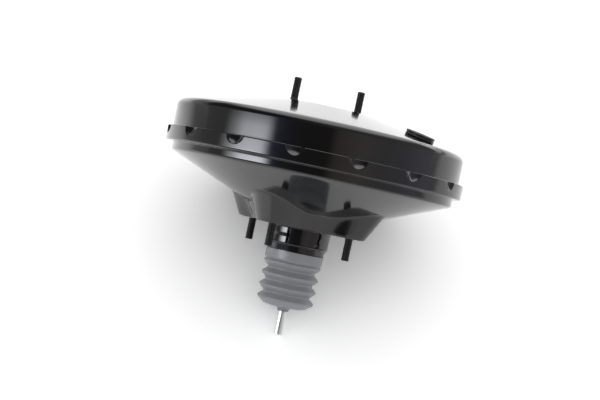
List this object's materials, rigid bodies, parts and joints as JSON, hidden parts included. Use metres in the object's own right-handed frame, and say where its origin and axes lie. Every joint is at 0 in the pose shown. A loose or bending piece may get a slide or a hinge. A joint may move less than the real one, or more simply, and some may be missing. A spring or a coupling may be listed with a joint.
{
  "type": "brake booster",
  "caption": "Round vacuum brake booster with pressed steel shells, studs on both faces, a vacuum port grommet, and a push rod that leaves through a bellows boot",
  "frame": {"origin": "centre of the rear mounting face, on the axis of the shells", "axes": "+Z along the axis towards the master cylinder side, the input rod points to -Z, and X and Y run along the sides of the rear stud square, with the two front studs on X"},
  "size_m": [0.3024, 0.3024, 0.2575],
  "materials": {
    "rear_shell": "gloss black paint on pressed steel",
    "front_shell": "gloss black paint on pressed steel",
    "rear_stud_plate": "plain steel plate",
    "rear_studs": "black coated steel",
    "front_stud_plate": "plain steel plate",
    "front_studs": "black coated steel",
    "vacuum_grommet": "black moulded rubber",
    "front_seal": "black moulded rubber",
    "neck_seal": "black moulded rubber",
    "neck_bearing": "natural nylon",
    "diaphragm": "black rubber sheet",
    "return_spring": "spring steel wire",
    "dust_boot": "grey moulded rubber bellows",
    "valve_body": "moulded phenolic resin",
    "diaphragm_plate": "zinc plated pressed steel",
    "spring_retainer": "pressed steel",
    "reaction_disc": "solid rubber disc",
    "output_rod": "zinc plated steel",
    "output_screw": "zinc plated steel",
    "stop_key": "stamped steel",
    "poppet_valve": "moulded rubber",
    "poppet_spring": "spring steel wire",
    "poppet_retainer": "pressed steel",
    "rod_spring": "spring steel wire",
    "air_filter": "open foam",
    "silencer": "felt",
    "valve_plunger": "turned brass",
    "input_rod": "bright zinc plate",
    "spring_step": "pressed steel"
  },
  "bodies": {
    "housing": {"rear_shell": "rear_shell", "front_shell": "front_shell", "rear_stud_plate": "rear_stud_plate", "rear_studs": "rear_studs", "front_stud_plate": "front_stud_plate", "front_studs": "front_studs", "vacuum_grommet": "vacuum_grommet", "front_seal": "front_seal", "neck_seal": "neck_seal", "neck_bearing": "neck_bearing", "diaphragm": "diaphragm", "return_spring": "return_spring", "dust_boot": "dust_boot"},
    "power_piston": {"valve_body": "valve_body", "diaphragm_plate": "diaphragm_plate", "spring_retainer": "spring_retainer", "reaction_disc": "reaction_disc", "output_rod": "output_rod", "output_screw": "output_screw", "stop_key": "stop_key", "poppet_valve": "poppet_valve", "poppet_spring": "poppet_spring", "poppet_retainer": "poppet_retainer", "rod_spring": "rod_spring", "air_filter": "air_filter", "silencer": "silencer"},
    "plunger": {"valve_plunger": "valve_plunger"},
    "input_rod": {"input_rod": "input_rod", "spring_step": "spring_step"}
  },
  "joints": [
    {"name": "power_piston_slide", "type": "slide", "parent": "housing", "child": "power_piston", "axis": [0, 0, 1], "range_m": [0, 0.032], "stiffness_N_per_m": 2500, "springref_m": -0.05, "deforming": ["return_spring", "diaphragm", "dust_boot"]},
    {"name": "plunger_slide", "type": "slide", "parent": "power_piston", "child": "plunger", "axis": [0, 0, 1], "range_m": [0, 0.002], "stiffness_N_per_m": 3000, "springref_m": -0.02, "deforming": ["rod_spring"]},
    {"name": "input_rod_swing", "type": "hinge", "parent": "plunger", "child": "input_rod", "pos_m": [0, 0, 0.003], "axis": [1, 0, 0], "range_deg": [-3, 3]}
  ]
}
